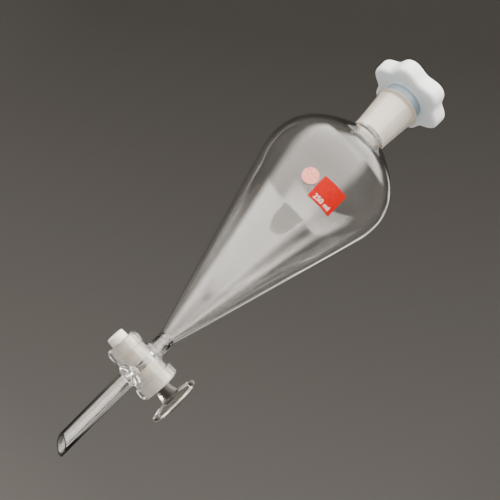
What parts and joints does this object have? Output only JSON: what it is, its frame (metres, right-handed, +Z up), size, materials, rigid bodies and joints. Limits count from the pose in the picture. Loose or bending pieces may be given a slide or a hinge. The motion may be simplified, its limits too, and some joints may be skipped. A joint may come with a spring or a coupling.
{
  "type": "separatory funnel",
  "caption": "Pear-shaped separatory funnel with a ground-glass stopcock, an angle-cut outlet stem and a lobed plastic stopper in its ground neck.",
  "frame": {"origin": "centre of the 60 mm circle where a support ring touches the cone, on the funnel's axis", "axes": "+Z up the funnel's axis towards the stopper, +X along the stopcock's axis towards its handle, -Y the side with the capacity patch"},
  "size_m": [0.0756, 0.0756, 0.3055],
  "materials": {
    "clear_glass": "clear, fire polished",
    "ground_glass": "ground, frosted",
    "stopper_plastic": "moulded, satin, slightly translucent",
    "red_enamel": "fired enamel, satin",
    "pink_enamel": "fired enamel, thin and satin"
  },
  "bodies": {
    "glass_body": {"neck_socket": "ground_glass", "pear_bulb": "clear_glass", "drain_tube": "clear_glass", "stopcock_barrel": "ground_glass", "outlet_stem": "clear_glass", "capacity_label": "red_enamel", "marking_spot": "pink_enamel"},
    "stopcock_key": {"stopcock_plug": "ground_glass", "plug_handle": "clear_glass"},
    "stopper_body": {"stopper": "stopper_plastic"}
  },
  "joints": [
    {"name": "stopcock_turn", "type": "hinge", "parent": "glass_body", "child": "stopcock_key", "pos_m": [0, 0, -0.1196], "axis": [1, 0, 0], "continuous": true},
    {"name": "stopper_lift", "type": "slide", "parent": "glass_body", "child": "stopper_body", "axis": [0, 0, 1], "range_m": [0, 0.045]}
  ]
}
